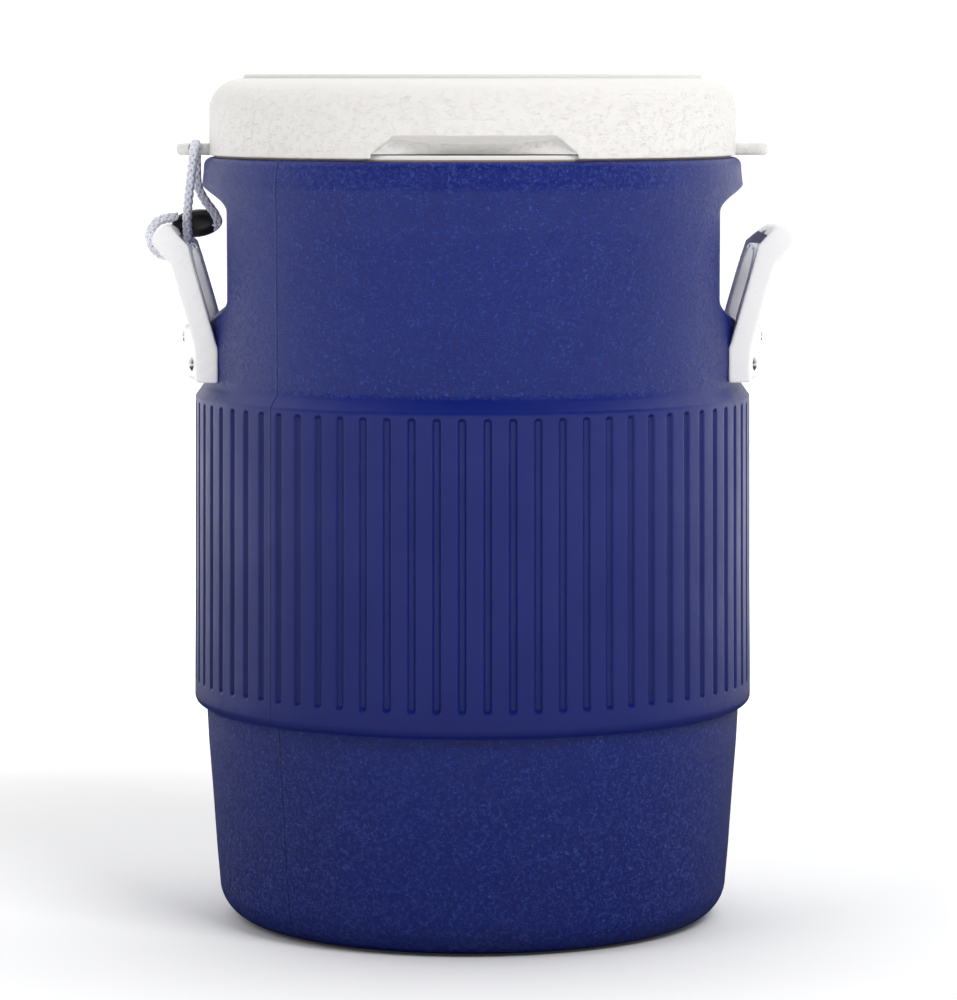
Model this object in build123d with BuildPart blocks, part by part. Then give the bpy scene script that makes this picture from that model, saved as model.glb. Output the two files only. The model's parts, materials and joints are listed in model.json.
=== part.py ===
"""Insulated beverage dispenser: a round foam-filled jug with a press-fit seat lid, two riveted side
handles, a push-button spigot low on its far side, and a lanyard that keeps the lid with the jug.

Millimetres, +Z up. The origin is the centre of the base. The handles stand at +X and -X, the spigot
faces +Y, and the plain back of the jug faces -Y.
"""

from build123d import *
import math
import os

os.makedirs("parts", exist_ok=True)

# ---------------------------------------------------------------- driving dimensions
wall = 3.0  # outer shell and lid shell
liner_wall = 2.0

# outer shell, from the base up
base_flat_radius = 119.0
base_edge_radius = 21.0
base_recess_radius = 104.0
base_recess_depth = 3.0
fill_hole_radius = 12.0
plug_head = base_recess_depth  # so that its face is level with the ring the jug stands on
lower_waist_height = 118.0
lower_waist_radius = 146.7
band_bottom = 119.0
band_top = 290.5
band_bottom_radius = 153.2
band_top_radius = 152.0
band_edge = 5.0
band_wall = 5.0
shoulder_height = 296.0
upper_radius = 147.0
rim_height = 418.4
rim_edge = 5.0
rim_flat_radius = 142.5

# the flat pocket behind each handle, and the flat that the spigot stands on
pocket_floor = 131.8
pocket_top = 403.0
pocket_ceiling_end = (137.9, 397.7)
pocket_ceiling_bend = 11.6
pocket_sill_top = 339.0
pocket_sill_bottom = 327.0
spigot_flat = 136.0
spigot_flat_top = 88.0

# inner liner
liner_radius = 124.0  # inside
liner_floor = 20.5
liner_flange_radius = 140.6
liner_flange_bottom = 419.2
liner_flange_top = 421.4
liner_flat = 122.0  # outside of the flat pad behind the spigot
liner_pad_top = 80.0

# lid
lid_bottom = 419.5
lid_radius = 143.8
lid_shoulder = 443.5
lid_corner = 17.5
lid_crown = 461.0
seat_radius = 125.0
seat_height = 463.6
lid_skirt_radius = 141.0  # inside
recess_top = 431.8
recess_back_top = 427.5
recess_back = 133.0
recess_width_top = 84.0
recess_width_bottom = 114.0
recess_wall_bottom = 422.0
tab_reach = 161.4
tab_half_width = 14.0
tab_top = 426.0
tab_hole_x = 150.6
tab_hole_y = -4.8
tab_hole_radius = 4.2
tab_notch_floor = 422.0
lid_foam_bottom = 403.4
lid_gasket_radii = (125.0, 129.5)
plug_radius = 123.2
plug_bottom = 401.0
lid_seat = 422.6  # underside of the lid liner's flange
lid_seat_thickness = 2.4

# handles: one moulding each, drawn at +X
handle_half_width = 54.0
handle_wall = 2.6
handle_inner_x = 137.7
handle_lean = 15.8
handle_bend = 41.0
handle_corner = 30.0
handle_top = 381.4
arm_thickness = 11.8
foot_bottom = 298.0
foot_top = 327.0
foot_radius = 158.0
arm_start = 317.3
arm_length = 56.2
grip_centre = (166.5, 374.8)
grip_radius = 6.6
window_half_width = 36.0
window_bottom = 328.0
window_top = 368.0
window_corner = 18.0
cord_gap = 10.0  # half the gap in the window's upper flange that the cord runs through
lip_cut = 160.3
channel_overrun = 12.0
outer_knee_height = 361.0
foot_edge = 5.0

# rivets
rivet_head_radius = 3.7
rivet_head_height = 1.6
rivet_shank_radius = 2.4
rivet_end = 142.0
rivet_heights = (320.3, 307.7, 307.7)
rivet_angles = (0.0, -16.0, 16.0)
washer_radius = 4.5
washer_thickness = 1.2

# spigot, on an axis along Y
spigot_height = 44.0
shank_radius = 11.0
shank_bore = 8.0
shank_end = 106.0
seat_bore = 5.5
seat_back = 139.0
chamber_back = 144.0
chamber_radius = 11.5
barrel_radius = 14.5
barrel_end = 170.0
flange_radius = 21.0
flange_front = 142.0
outlet_y = 151.5
outlet_radius = 8.5
outlet_bore = 6.0
outlet_bottom = 13.0
gasket_thickness = 2.0
nut_thickness = 6.0
nut_radius = 14.0
nut_turn = 0.0
bonnet_radius = 17.5
bonnet_back = 160.5
bonnet_front = 173.0
bonnet_hole = 10.5
button_radius = 10.42
button_front = 182.5
button_flange_radius = 11.2
button_flange_thickness = 3.0
button_wall = 2.4
button_boss = 5.0
stem_radius = 2.5
seal_radius = 7.2
seal_thickness = 2.5
retainer_radius = 4.6
retainer_thickness = 1.2
spring_radius = 9.4
spring_wire = 0.6
spring_turns = 6

# lanyard
cord_diameter = 5.5
clamp_centre = (-152.0, 6.5, 381.2)
clamp_half_length = 12.2
clamp_half_height = 7.4
clamp_half_thickness = 5.2
clamp_edge = 3.5
clamp_tilt = math.radians(-7)


def save(part, name):
    """Labels one finished piece and writes it."""
    part.label = name
    export_step(part, f"parts/{name}.step")


def side_prism(points, half_width, plane):
    """A closed outline on a side plane, extruded both ways from it."""
    with BuildPart() as prism:
        with BuildSketch(plane):
            with BuildLine():
                Polyline(*points, close=True)
            make_face()
        extrude(amount=half_width, both=True)
    return prism.part


# ---------------------------------------------------------------- tools shared by the pieces
# The handle pockets and the spigot's flat are cut into the shell, and the foam's cavity keeps a
# wall's thickness behind them, so each is made once for the outside and once for the inside.


def pocket_outline(inset):
    """The pocket's section on XZ, moved towards the axis by inset."""
    ceiling_x, ceiling_z = pocket_ceiling_end
    slope = (pocket_top - ceiling_z) / (upper_radius + 0.7 - ceiling_x)
    reach = 30.0
    bend = math.atan(1 / slope)
    bend_x = pocket_floor + pocket_ceiling_bend
    bend_z = ceiling_z - pocket_ceiling_bend * math.sin(bend)
    ceiling = [
        (
            bend_x - pocket_ceiling_bend * math.cos(bend * step / 4) - inset,
            bend_z + pocket_ceiling_bend * math.sin(bend * step / 4) + inset,
        )
        for step in range(5)
    ]
    lip = (ceiling_x + reach - inset, ceiling_z + slope * reach + inset)
    sill = (pocket_sill_top - pocket_sill_bottom) / (upper_radius - pocket_floor)
    return [
        *ceiling,
        lip,
        (ceiling_x + reach, pocket_sill_top - sill * (ceiling_x + reach - pocket_floor) - inset),
        (pocket_floor - inset, pocket_sill_top - inset),
    ]


def spigot_flat_outline(inset):
    """The spigot flat's section on YZ, moved towards the axis by inset."""
    return [
        (spigot_flat - inset, -5.0),
        (spigot_flat - inset, spigot_flat_top + inset),
        (spigot_flat + 24 - inset, spigot_flat_top + 20 + inset),
        (spigot_flat + 24, -5.0),
    ]


def hollows(inset):
    """Both handle pockets and the spigot's flat."""
    pocket = side_prism(pocket_outline(inset), 75.0, Plane.XZ)
    return [
        pocket,
        mirror(pocket, about=Plane.YZ),
        side_prism(spigot_flat_outline(inset), 60.0, Plane.YZ),
    ]


with BuildPart() as body_envelope:
    with BuildSketch(Plane.XZ):
        with BuildLine():
            edge = RadiusArc((base_flat_radius, 0), (140.0, base_edge_radius), -base_edge_radius)
            Polyline(
                edge @ 1,
                (141.6, 40.0),
                (143.6, 70.0),
                (145.7, 98.0),
                (lower_waist_radius, lower_waist_height),
                (lower_waist_radius + 1.3, band_bottom),
            )
            lower = RadiusArc(
                (lower_waist_radius + 1.3, band_bottom),
                (band_bottom_radius, band_bottom + band_edge),
                -band_edge,
            )
            Polyline(
                lower @ 1,
                (band_top_radius, band_top),
                (upper_radius, shoulder_height),
                (upper_radius, rim_height - rim_edge),
            )
            rim = RadiusArc(
                (upper_radius, rim_height - rim_edge), (rim_flat_radius, rim_height), -rim_edge
            )
            Polyline(rim @ 1, (0, rim_height), (0, 0), (base_flat_radius, 0))
        make_face()
    revolve(axis=Axis.Z)
    for hollow in hollows(0):
        add(hollow, mode=Mode.SUBTRACT)
    Cylinder(
        base_recess_radius,
        base_recess_depth,
        align=(Align.CENTER, Align.CENTER, Align.MIN),
        mode=Mode.SUBTRACT,
    )

cavity_floor = base_recess_depth + wall
with BuildPart() as foam_cavity:
    with BuildSketch(Plane.XZ):
        with BuildLine():
            Polyline(
                (0, cavity_floor),
                (base_flat_radius - 2, cavity_floor),
                (140.0 - wall, base_edge_radius + wall),
                (lower_waist_radius - wall, lower_waist_height),
                (band_bottom_radius - band_wall, band_bottom + 2 * wall),
                (band_top_radius - band_wall, band_top - wall),
                (upper_radius - wall, shoulder_height - wall),
                (upper_radius - wall, rim_height - rim_edge - wall),
                (rim_flat_radius - wall, rim_height),
                (0, rim_height),
                close=True,
            )
        make_face()
    revolve(axis=Axis.Z)
    for hollow in hollows(wall):
        add(hollow, mode=Mode.SUBTRACT)

liner_outer = liner_radius + liner_wall
with BuildPart() as liner_envelope:
    with BuildSketch(Plane.XZ):
        with BuildLine():
            Polyline(
                (0, liner_floor - liner_wall),
                (liner_outer - 14, liner_floor - liner_wall),
                (liner_outer, liner_floor + 14),
                (liner_outer, liner_flange_bottom),
                (0, liner_flange_bottom),
                close=True,
            )
        make_face()
    revolve(axis=Axis.Z)
    add(
        side_prism(
            [(liner_flat, 0), (liner_flat, liner_pad_top), (140, liner_pad_top + 18), (140, 0)],
            60.0,
            Plane.YZ,
        ),
        mode=Mode.SUBTRACT,
    )

# the rivets' shanks on the +X side, through the handle's foot and the shell
with BuildPart() as rivet_shanks:
    for angle, height in zip(rivet_angles, rivet_heights):
        turn = math.radians(angle)
        outwards = (math.cos(turn), math.sin(turn), 0)
        start = (rivet_end * outwards[0], rivet_end * outwards[1], height)
        with BuildSketch(Plane(origin=start, z_dir=outwards)):
            Circle(rivet_shank_radius)
        extrude(amount=foot_radius - rivet_end)

# ---------------------------------------------------------------- outer shell
with BuildPart() as outer_shell:
    add(body_envelope.part)
    add(foam_cavity.part, mode=Mode.SUBTRACT)
    # the rim's mouth, which the liner's neck drops through
    with BuildSketch(Plane.XY.offset(rim_height - 2 * wall)):
        Circle(liner_outer)
    extrude(amount=2 * wall + 1, mode=Mode.SUBTRACT)
    # the hole for the spigot's shank, and the filling hole in the base
    with BuildSketch(Plane.XZ.offset(-spigot_flat - 1)):
        with Locations((0, spigot_height)):
            Circle(shank_radius)
    extrude(amount=2 * wall, mode=Mode.SUBTRACT)
    with BuildSketch(Plane.XY):
        Circle(fill_hole_radius)
    extrude(amount=cavity_floor, mode=Mode.SUBTRACT)
    add(rivet_shanks.part, mode=Mode.SUBTRACT)
    add(mirror(rivet_shanks.part, about=Plane.YZ), mode=Mode.SUBTRACT)
save(outer_shell.part, "outer_shell")

# ---------------------------------------------------------------- inner liner
with BuildPart() as inner_liner:
    add(liner_envelope.part)
    with BuildSketch(Plane.XY.offset(liner_flange_bottom)):
        Circle(liner_flange_radius)
    extrude(amount=liner_flange_top - liner_flange_bottom)
    with BuildSketch(Plane.XZ):
        with BuildLine():
            Polyline(
                (0, liner_floor),
                (liner_radius - 13, liner_floor),
                (liner_radius, liner_floor + 13),
                (liner_radius, liner_flange_top),
                (0, liner_flange_top),
                close=True,
            )
        make_face()
    revolve(axis=Axis.Z, mode=Mode.SUBTRACT)
    # the flat pad behind the spigot, a wall's thickness inside the outer flat
    pad_inside = liner_flat - liner_wall
    pad = side_prism(
        [
            (pad_inside, liner_floor + 9),
            (pad_inside, liner_pad_top + 1),
            (liner_flat, liner_pad_top),
            (liner_outer - 0.5, liner_pad_top),
            (liner_outer - 0.5, liner_floor + 9),
        ],
        34.0,
        Plane.YZ,
    )
    add(pad & liner_envelope.part)
    with BuildSketch(Plane.XZ.offset(-liner_flat - 1)):
        with Locations((0, spigot_height)):
            Circle(shank_radius)
    extrude(amount=2 * liner_wall, mode=Mode.SUBTRACT)
save(inner_liner.part, "inner_liner")

# ---------------------------------------------------------------- rim seal, under the liner's flange
with BuildPart() as rim_seal:
    with BuildSketch(Plane.XY.offset(rim_height)):
        Circle(liner_flange_radius + 0.6)
        Circle(liner_outer, mode=Mode.SUBTRACT)
    extrude(amount=liner_flange_bottom - rim_height)
save(rim_seal.part, "rim_seal")

# ---------------------------------------------------------------- plug in the base's filling hole
with BuildPart() as foam_fill_plug:
    with BuildSketch(Plane.XY.offset(base_recess_depth)):
        Circle(fill_hole_radius)
    extrude(amount=wall)
    with BuildSketch(Plane.XY.offset(base_recess_depth - plug_head)):
        Circle(fill_hole_radius + 4)
    extrude(amount=plug_head)
save(foam_fill_plug.part, "foam_fill_plug")


# ---------------------------------------------------------------- handles
def handle_section(inset, open_back):
    """Side outline of an arm and its grip on XZ, inset from the outer side.

    The arm leans outwards, then bends over into the grip, whose end is round. With open_back the
    outline runs past the side that faces the jug, so that cutting it leaves a channel.
    """
    lean = math.radians(handle_lean)
    bend = math.radians(handle_bend)
    radius = grip_radius - inset
    grip_x, grip_z = grip_centre
    inner_touch = (grip_x - radius * math.cos(bend), grip_z + radius * math.sin(bend))
    outer_touch = (grip_x + radius * math.cos(bend), grip_z - radius * math.sin(bend))
    tip = (grip_x + radius * math.sin(bend), grip_z + radius * math.cos(bend))
    inner_x = handle_inner_x - (channel_overrun if open_back else 0)
    inner_knee = (inner_x + arm_length * math.sin(lean), arm_start + arm_length * math.cos(lean))
    outer_x = handle_inner_x + arm_thickness - inset
    elbow = (outer_x + 0.7, arm_start + 2)
    outer_knee_x = elbow[0] + (outer_knee_height + inset - elbow[1]) * math.tan(lean)
    with BuildSketch(Plane.XZ) as section:
        with BuildLine():
            ThreePointArc(inner_touch, tip, outer_touch)
            Polyline(
                outer_touch,
                (outer_knee_x, outer_knee_height + inset),
                elbow,
                (outer_x, arm_start - 4),
                (outer_x, foot_bottom),
                (inner_x, foot_bottom),
                (inner_x, arm_start),
                inner_knee,
                inner_touch,
            )
        make_face()
    return section.sketch


def window_block(grow):
    """The hand hole's prism along X, grown on every side: round above, square below."""
    half_width = window_half_width + grow
    with BuildPart() as block:
        with BuildSketch(Plane.YZ.offset(handle_inner_x - 30)):
            with Locations((0, (window_top + window_bottom) / 2)):
                RectangleRounded(
                    2 * half_width, window_top - window_bottom + 2 * grow, window_corner + grow
                )
            with Locations((0, window_bottom - grow)):
                Rectangle(2 * half_width, window_corner, align=(Align.CENTER, Align.MIN))
        extrude(amount=90)
    return block.part


def corner_block(inset):
    """A prism along X that rounds the handle's upper corners, inset all round."""
    half_width = handle_half_width - inset
    with BuildPart() as block:
        with BuildSketch(Plane.YZ.offset(handle_inner_x - 30)):
            with Locations((0, handle_top - inset)):
                RectangleRounded(
                    2 * half_width, 160, handle_corner - inset, align=(Align.CENTER, Align.MAX)
                )
        extrude(amount=90)
    return block.part


# the flange left standing round the hand hole, with a gap where the cord runs
with BuildPart() as window_flange:
    add(window_block(handle_wall))
    with BuildSketch(Plane.XY.offset(window_top - window_corner / 2)):
        with Locations((grip_centre[0], 0)):
            Rectangle(80, 2 * cord_gap)
    extrude(amount=window_corner, mode=Mode.SUBTRACT)

# the hollow behind the arms and the grip
with BuildPart() as channel:
    extrude(handle_section(handle_wall, True), amount=handle_half_width - handle_wall, both=True)
    add(corner_block(handle_wall), mode=Mode.INTERSECT)
    add(window_flange.part, mode=Mode.SUBTRACT)
    with BuildSketch(Plane.XY.offset(foot_bottom - 1)):
        with Locations((handle_inner_x, 0)):
            Rectangle(80, 3 * handle_half_width)
    extrude(amount=foot_top - foot_bottom + 1 + handle_wall, mode=Mode.SUBTRACT)

# the foot follows the jug, with a rounded lower edge, and keeps behind the arms' inner line
foot_run = (foot_top - arm_start) * math.tan(math.radians(handle_lean))
with BuildPart() as foot:
    with BuildSketch(Plane.XY.offset(foot_bottom)):
        Circle(foot_radius)
        with Locations((foot_radius, 0)):
            Rectangle(80, 2 * handle_half_width, mode=Mode.INTERSECT)
    extrude(amount=foot_top - foot_bottom)
    fillet(foot.faces().sort_by(Axis.Z)[0].edges().sort_by(Axis.X)[-1], foot_edge)
    with BuildSketch(Plane.XZ):
        with BuildLine():
            Polyline(
                (handle_inner_x, arm_start),
                (handle_inner_x + foot_run, foot_top),
                (handle_inner_x - arm_thickness, foot_top),
                (handle_inner_x - arm_thickness, arm_start),
                close=True,
            )
        make_face()
    extrude(amount=2 * handle_half_width, both=True, mode=Mode.SUBTRACT)

with BuildPart() as handle_right:
    extrude(handle_section(0, False), amount=handle_half_width, both=True)
    add(corner_block(0), mode=Mode.INTERSECT)
    add(window_block(0), mode=Mode.SUBTRACT)
    add(channel.part, mode=Mode.SUBTRACT)
    add(foot.part)
    # the grip's upper lip is cut back where the cord passes it
    with BuildSketch(Plane.XY.offset(window_top)):
        with Locations((handle_inner_x, 0)):
            Rectangle(2 * (lip_cut - handle_inner_x), 2 * cord_gap)
    extrude(amount=window_corner, mode=Mode.SUBTRACT)
    add(body_envelope.part, mode=Mode.SUBTRACT)
    add(rivet_shanks.part, mode=Mode.SUBTRACT)
save(handle_right.part, "handle_right")

with BuildPart() as handle_left:
    add(mirror(handle_right.part, about=Plane.YZ))
save(handle_left.part, "handle_left")

# ---------------------------------------------------------------- rivets and their washers
# a domed head on the foot, and inside the shell a flat washer with its rim against the wall
washer_back = math.sqrt((upper_radius - wall) ** 2 - washer_radius**2)
head_sphere = (rivet_head_radius**2 + rivet_head_height**2) / (2 * rivet_head_height)
with BuildPart() as rivet_heads:
    for angle, height in zip(rivet_angles, rivet_heights):
        turn = math.radians(angle)
        outwards = (math.cos(turn), math.sin(turn), 0)
        centre = foot_radius + rivet_head_height - head_sphere
        with Locations((centre * outwards[0], centre * outwards[1], height)):
            Sphere(head_sphere)
with BuildPart() as handle_rivets_right:
    add(rivet_heads.part)
    Cylinder(foot_radius, 2 * rim_height, mode=Mode.SUBTRACT)
    add(rivet_shanks.part)
save(handle_rivets_right.part, "handle_rivets_right")

with BuildPart() as handle_rivets_left:
    add(mirror(handle_rivets_right.part, about=Plane.YZ))
save(handle_rivets_left.part, "handle_rivets_left")

with BuildPart() as rivet_washers_right:
    for angle, height in zip(rivet_angles, rivet_heights):
        turn = math.radians(angle)
        outwards = (math.cos(turn), math.sin(turn), 0)
        back = washer_back - washer_thickness
        with BuildSketch(
            Plane(origin=(back * outwards[0], back * outwards[1], height), z_dir=outwards)
        ):
            Circle(washer_radius)
            Circle(rivet_shank_radius, mode=Mode.SUBTRACT)
        extrude(amount=washer_thickness)
save(rivet_washers_right.part, "rivet_washers_right")

with BuildPart() as rivet_washers_left:
    add(mirror(rivet_washers_right.part, about=Plane.YZ))
save(rivet_washers_left.part, "rivet_washers_left")


# ---------------------------------------------------------------- lid
def recess_block(grow):
    """The finger recess in the lid's skirt on the +Y side, grown on the side of the wall."""
    half_top = recess_width_top / 2 + grow
    half_bottom = recess_width_bottom / 2 + grow
    spread = (half_bottom - half_top) / (recess_top - lid_bottom)
    rise = (recess_top - recess_back_top) / (lid_radius - recess_back)
    reach = 150.0
    with BuildPart() as block:
        with BuildSketch(Plane.XZ.offset(-reach)):
            with BuildLine():
                Polyline(
                    (-half_top + 8 * spread, recess_top + 8),
                    (half_top - 8 * spread, recess_top + 8),
                    (half_bottom + 4 * spread, lid_bottom - 4),
                    (-half_bottom - 4 * spread, lid_bottom - 4),
                    close=True,
                )
            make_face()
        extrude(amount=reach - recess_back + grow)
        add(
            side_prism(
                [
                    (recess_back - 10, recess_back_top - 10 * rise + grow),
                    (reach + 10, recess_top + (reach + 10 - lid_radius) * rise + grow),
                    (reach + 10, recess_top + 40),
                    (recess_back - 10, recess_top + 40),
                ],
                90.0,
                Plane.YZ,
            ),
            mode=Mode.SUBTRACT,
        )
    return block.part


lid_inner_top = lid_crown - wall
lid_arc_centre = lid_radius - lid_corner
with BuildPart() as lid_cavity:
    with BuildSketch(Plane.XZ):
        with BuildLine():
            inner_arc = RadiusArc(
                (lid_skirt_radius, lid_shoulder), (lid_arc_centre, lid_inner_top), -(lid_corner - wall)
            )
            Polyline(
                inner_arc @ 1,
                (0, lid_inner_top),
                (0, lid_bottom - 1),
                (lid_skirt_radius, lid_bottom - 1),
                (lid_skirt_radius, lid_shoulder),
            )
        make_face()
    revolve(axis=Axis.Z)
    add(recess_block(wall), mode=Mode.SUBTRACT)
    add(mirror(recess_block(wall), about=Plane.XZ), mode=Mode.SUBTRACT)

# the two tabs on the skirt, rounded in section and in plan
tab_height = tab_top - lid_bottom
with BuildPart() as tab_right:
    with BuildSketch(Plane.XZ):
        with Locations((tab_reach / 2, lid_bottom + tab_height / 2)):
            RectangleRounded(tab_reach, tab_height, 2.6)
    extrude(amount=tab_half_width, both=True)
    with BuildSketch(Plane.XY.offset(lid_bottom)):
        with Locations((tab_reach / 2, 0)):
            RectangleRounded(tab_reach, 2 * tab_half_width, 6)
    extrude(amount=tab_height, mode=Mode.INTERSECT)
    Cylinder(lid_radius - 1, 3 * rim_height, mode=Mode.SUBTRACT)

with BuildPart() as lid_shell:
    with BuildSketch(Plane.XZ):
        with BuildLine():
            outer_arc = RadiusArc(
                (lid_radius, lid_shoulder), (lid_arc_centre, lid_crown), -lid_corner
            )
            Polyline(outer_arc @ 1, (seat_radius, lid_crown), (seat_radius, seat_height - 1.5))
            seat_arc = RadiusArc(
                (seat_radius, seat_height - 1.5), (seat_radius - 1.5, seat_height), -1.5
            )
            Polyline(
                seat_arc @ 1,
                (0, seat_height),
                (0, lid_bottom),
                (lid_radius, lid_bottom),
                (lid_radius, lid_shoulder),
            )
        make_face()
    revolve(axis=Axis.Z)
    add(recess_block(0), mode=Mode.SUBTRACT)
    add(mirror(recess_block(0), about=Plane.XZ), mode=Mode.SUBTRACT)
    add(lid_cavity.part, mode=Mode.SUBTRACT)
    with BuildSketch(Plane.XY.offset(lid_bottom - 1)):
        Circle(lid_skirt_radius)
    extrude(amount=recess_wall_bottom - lid_bottom + 1, mode=Mode.SUBTRACT)
    add(tab_right.part)
    add(mirror(tab_right.part, about=Plane.YZ))
    # the lanyard's hole in the left tab, and the notch that lets it over the front edge
    with BuildSketch(Plane.XY.offset(lid_bottom - 1)):
        with Locations((-tab_hole_x, tab_hole_y)):
            Circle(tab_hole_radius)
    extrude(amount=tab_height + 2, mode=Mode.SUBTRACT)
    with BuildSketch(Plane.XY.offset(tab_notch_floor)):
        with Locations((-tab_hole_x, tab_hole_y - tab_half_width / 2)):
            Rectangle(2 * tab_hole_radius, tab_half_width)
    extrude(amount=tab_height, mode=Mode.SUBTRACT)
save(lid_shell.part, "lid_shell")

pan_inside = plug_radius - lid_seat_thickness
pan_corner = 5.0
lid_seat_top = lid_seat + lid_seat_thickness
with BuildPart() as pan_hollow:
    with BuildSketch(Plane.XZ):
        with BuildLine():
            Polyline(
                (0, lid_foam_bottom),
                (pan_inside - pan_corner, lid_foam_bottom),
                (pan_inside, lid_foam_bottom + pan_corner),
                (pan_inside, lid_seat_top),
                (0, lid_seat_top),
                close=True,
            )
        make_face()
    revolve(axis=Axis.Z)

with BuildPart() as lid_liner:
    with BuildSketch(Plane.XZ):
        with BuildLine():
            Polyline(
                (0, plug_bottom),
                (plug_radius - pan_corner - 1, plug_bottom),
                (plug_radius, plug_bottom + pan_corner + 1),
                (plug_radius, lid_seat),
                (lid_skirt_radius, lid_seat),
                (lid_skirt_radius, lid_seat_top),
                (0, lid_seat_top),
                close=True,
            )
        make_face()
    revolve(axis=Axis.Z)
    add(pan_hollow.part, mode=Mode.SUBTRACT)
    add(recess_block(wall), mode=Mode.SUBTRACT)
    add(mirror(recess_block(wall), about=Plane.XZ), mode=Mode.SUBTRACT)
save(lid_liner.part, "lid_liner")

with BuildPart() as lid_insulation:
    add(lid_cavity.part)
    with BuildSketch(Plane.XY.offset(lid_bottom - 1)):
        Circle(2 * lid_radius)
    extrude(amount=lid_seat_top - lid_bottom + 1, mode=Mode.SUBTRACT)
    add(pan_hollow.part)
save(lid_insulation.part, "lid_insulation")

with BuildPart() as lid_gasket:
    with BuildSketch(Plane.XY.offset(liner_flange_top)):
        Circle(lid_gasket_radii[1])
        Circle(lid_gasket_radii[0], mode=Mode.SUBTRACT)
    extrude(amount=lid_seat - liner_flange_top)
save(lid_gasket.part, "lid_gasket")


# ---------------------------------------------------------------- spigot
def disc(start, end, radius, bore=0.0):
    """A round disc or ring on the spigot's axis, between two heights along Y."""
    with BuildPart() as ring:
        with BuildSketch(Plane.XZ.offset(-end)):
            with Locations((0, spigot_height)):
                Circle(radius)
                if bore:
                    Circle(bore, mode=Mode.SUBTRACT)
        extrude(amount=end - start)
    return ring.part


with BuildPart() as spigot_body:
    add(disc(shank_end, flange_front, shank_radius))
    add(disc(flange_front - 4, flange_front, flange_radius))
    add(disc(flange_front, barrel_end, barrel_radius))
    with BuildSketch(Plane.XY.offset(outlet_bottom)):
        with Locations((0, outlet_y)):
            Circle(outlet_radius)
    extrude(amount=spigot_height - outlet_bottom)
    with BuildSketch(Plane.XY.offset(outlet_bottom)):
        with Locations((0, outlet_y)):
            Circle(outlet_bore)
    extrude(amount=spigot_height - outlet_bottom, mode=Mode.SUBTRACT)
    add(disc(chamber_back, barrel_end, chamber_radius), mode=Mode.SUBTRACT)
    add(disc(seat_back, chamber_back, seat_bore), mode=Mode.SUBTRACT)
    add(disc(shank_end, seat_back, shank_bore), mode=Mode.SUBTRACT)
save(spigot_body.part, "spigot_body")

with BuildPart() as spigot_outer_gasket:
    add(disc(spigot_flat, spigot_flat + gasket_thickness, flange_radius, shank_radius))
save(spigot_outer_gasket.part, "spigot_outer_gasket")

nut_front = liner_flat - liner_wall - gasket_thickness
with BuildPart() as spigot_inner_gasket:
    add(disc(nut_front, nut_front + gasket_thickness, nut_radius, shank_radius))
save(spigot_inner_gasket.part, "spigot_inner_gasket")

with BuildPart() as spigot_lock_nut:
    with BuildSketch(Plane.XZ.offset(-nut_front)):
        with Locations((0, spigot_height)):
            RegularPolygon(nut_radius, 6, major_radius=False, rotation=nut_turn)
            Circle(shank_radius, mode=Mode.SUBTRACT)
    extrude(amount=nut_thickness)
save(spigot_lock_nut.part, "spigot_lock_nut")

with BuildPart() as spigot_bonnet:
    add(disc(bonnet_back, bonnet_front, bonnet_radius, bonnet_hole))
    chamfer(spigot_bonnet.edges().group_by(Axis.Y)[-1].sort_by(SortBy.RADIUS)[-1], 1.2)
    add(disc(bonnet_back, barrel_end, barrel_radius), mode=Mode.SUBTRACT)
save(spigot_bonnet.part, "spigot_bonnet")

# the button: a cup with a rim that the bonnet holds back, and a boss for the stem
button_rim = barrel_end - 0.1
button_back = button_rim - button_flange_thickness
stem_front = button_front - button_wall
with BuildPart() as spigot_button:
    add(disc(button_back, button_rim, button_flange_radius))
    add(disc(button_rim, button_front, button_radius))
    chamfer(spigot_button.edges().group_by(Axis.Y)[-1], 0.8)
    add(disc(button_back, stem_front, button_radius - button_wall), mode=Mode.SUBTRACT)
    add(disc(button_back, stem_front, button_boss))
    add(disc(button_back, stem_front, stem_radius), mode=Mode.SUBTRACT)
save(spigot_button.part, "spigot_button")

seal_back = seat_back - seal_thickness
with BuildPart() as spigot_stem:
    add(disc(seal_back - retainer_thickness - 1, stem_front, stem_radius))
save(spigot_stem.part, "spigot_stem")

with BuildPart() as spigot_valve_seal:
    add(disc(seal_back, seat_back, seal_radius, stem_radius))
save(spigot_valve_seal.part, "spigot_valve_seal")

with BuildPart() as spigot_seal_retainer:
    add(disc(seal_back - retainer_thickness, seal_back, retainer_radius, stem_radius))
save(spigot_seal_retainer.part, "spigot_seal_retainer")

spring_start = chamber_back + spring_wire + 0.05
spring_length = button_back - spring_wire - 0.05 - spring_start
with BuildPart() as spigot_spring:
    with BuildLine() as coil:
        Helix(
            spring_length / spring_turns,
            spring_length,
            spring_radius,
            center=(0, spring_start, spigot_height),
            direction=(0, 1, 0),
        )
    with BuildSketch(Plane(origin=coil.wire() @ 0, z_dir=coil.wire() % 0)):
        Circle(spring_wire)
    sweep(path=coil.wire(), is_frenet=True)
save(spigot_spring.part, "spigot_spring")

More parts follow.
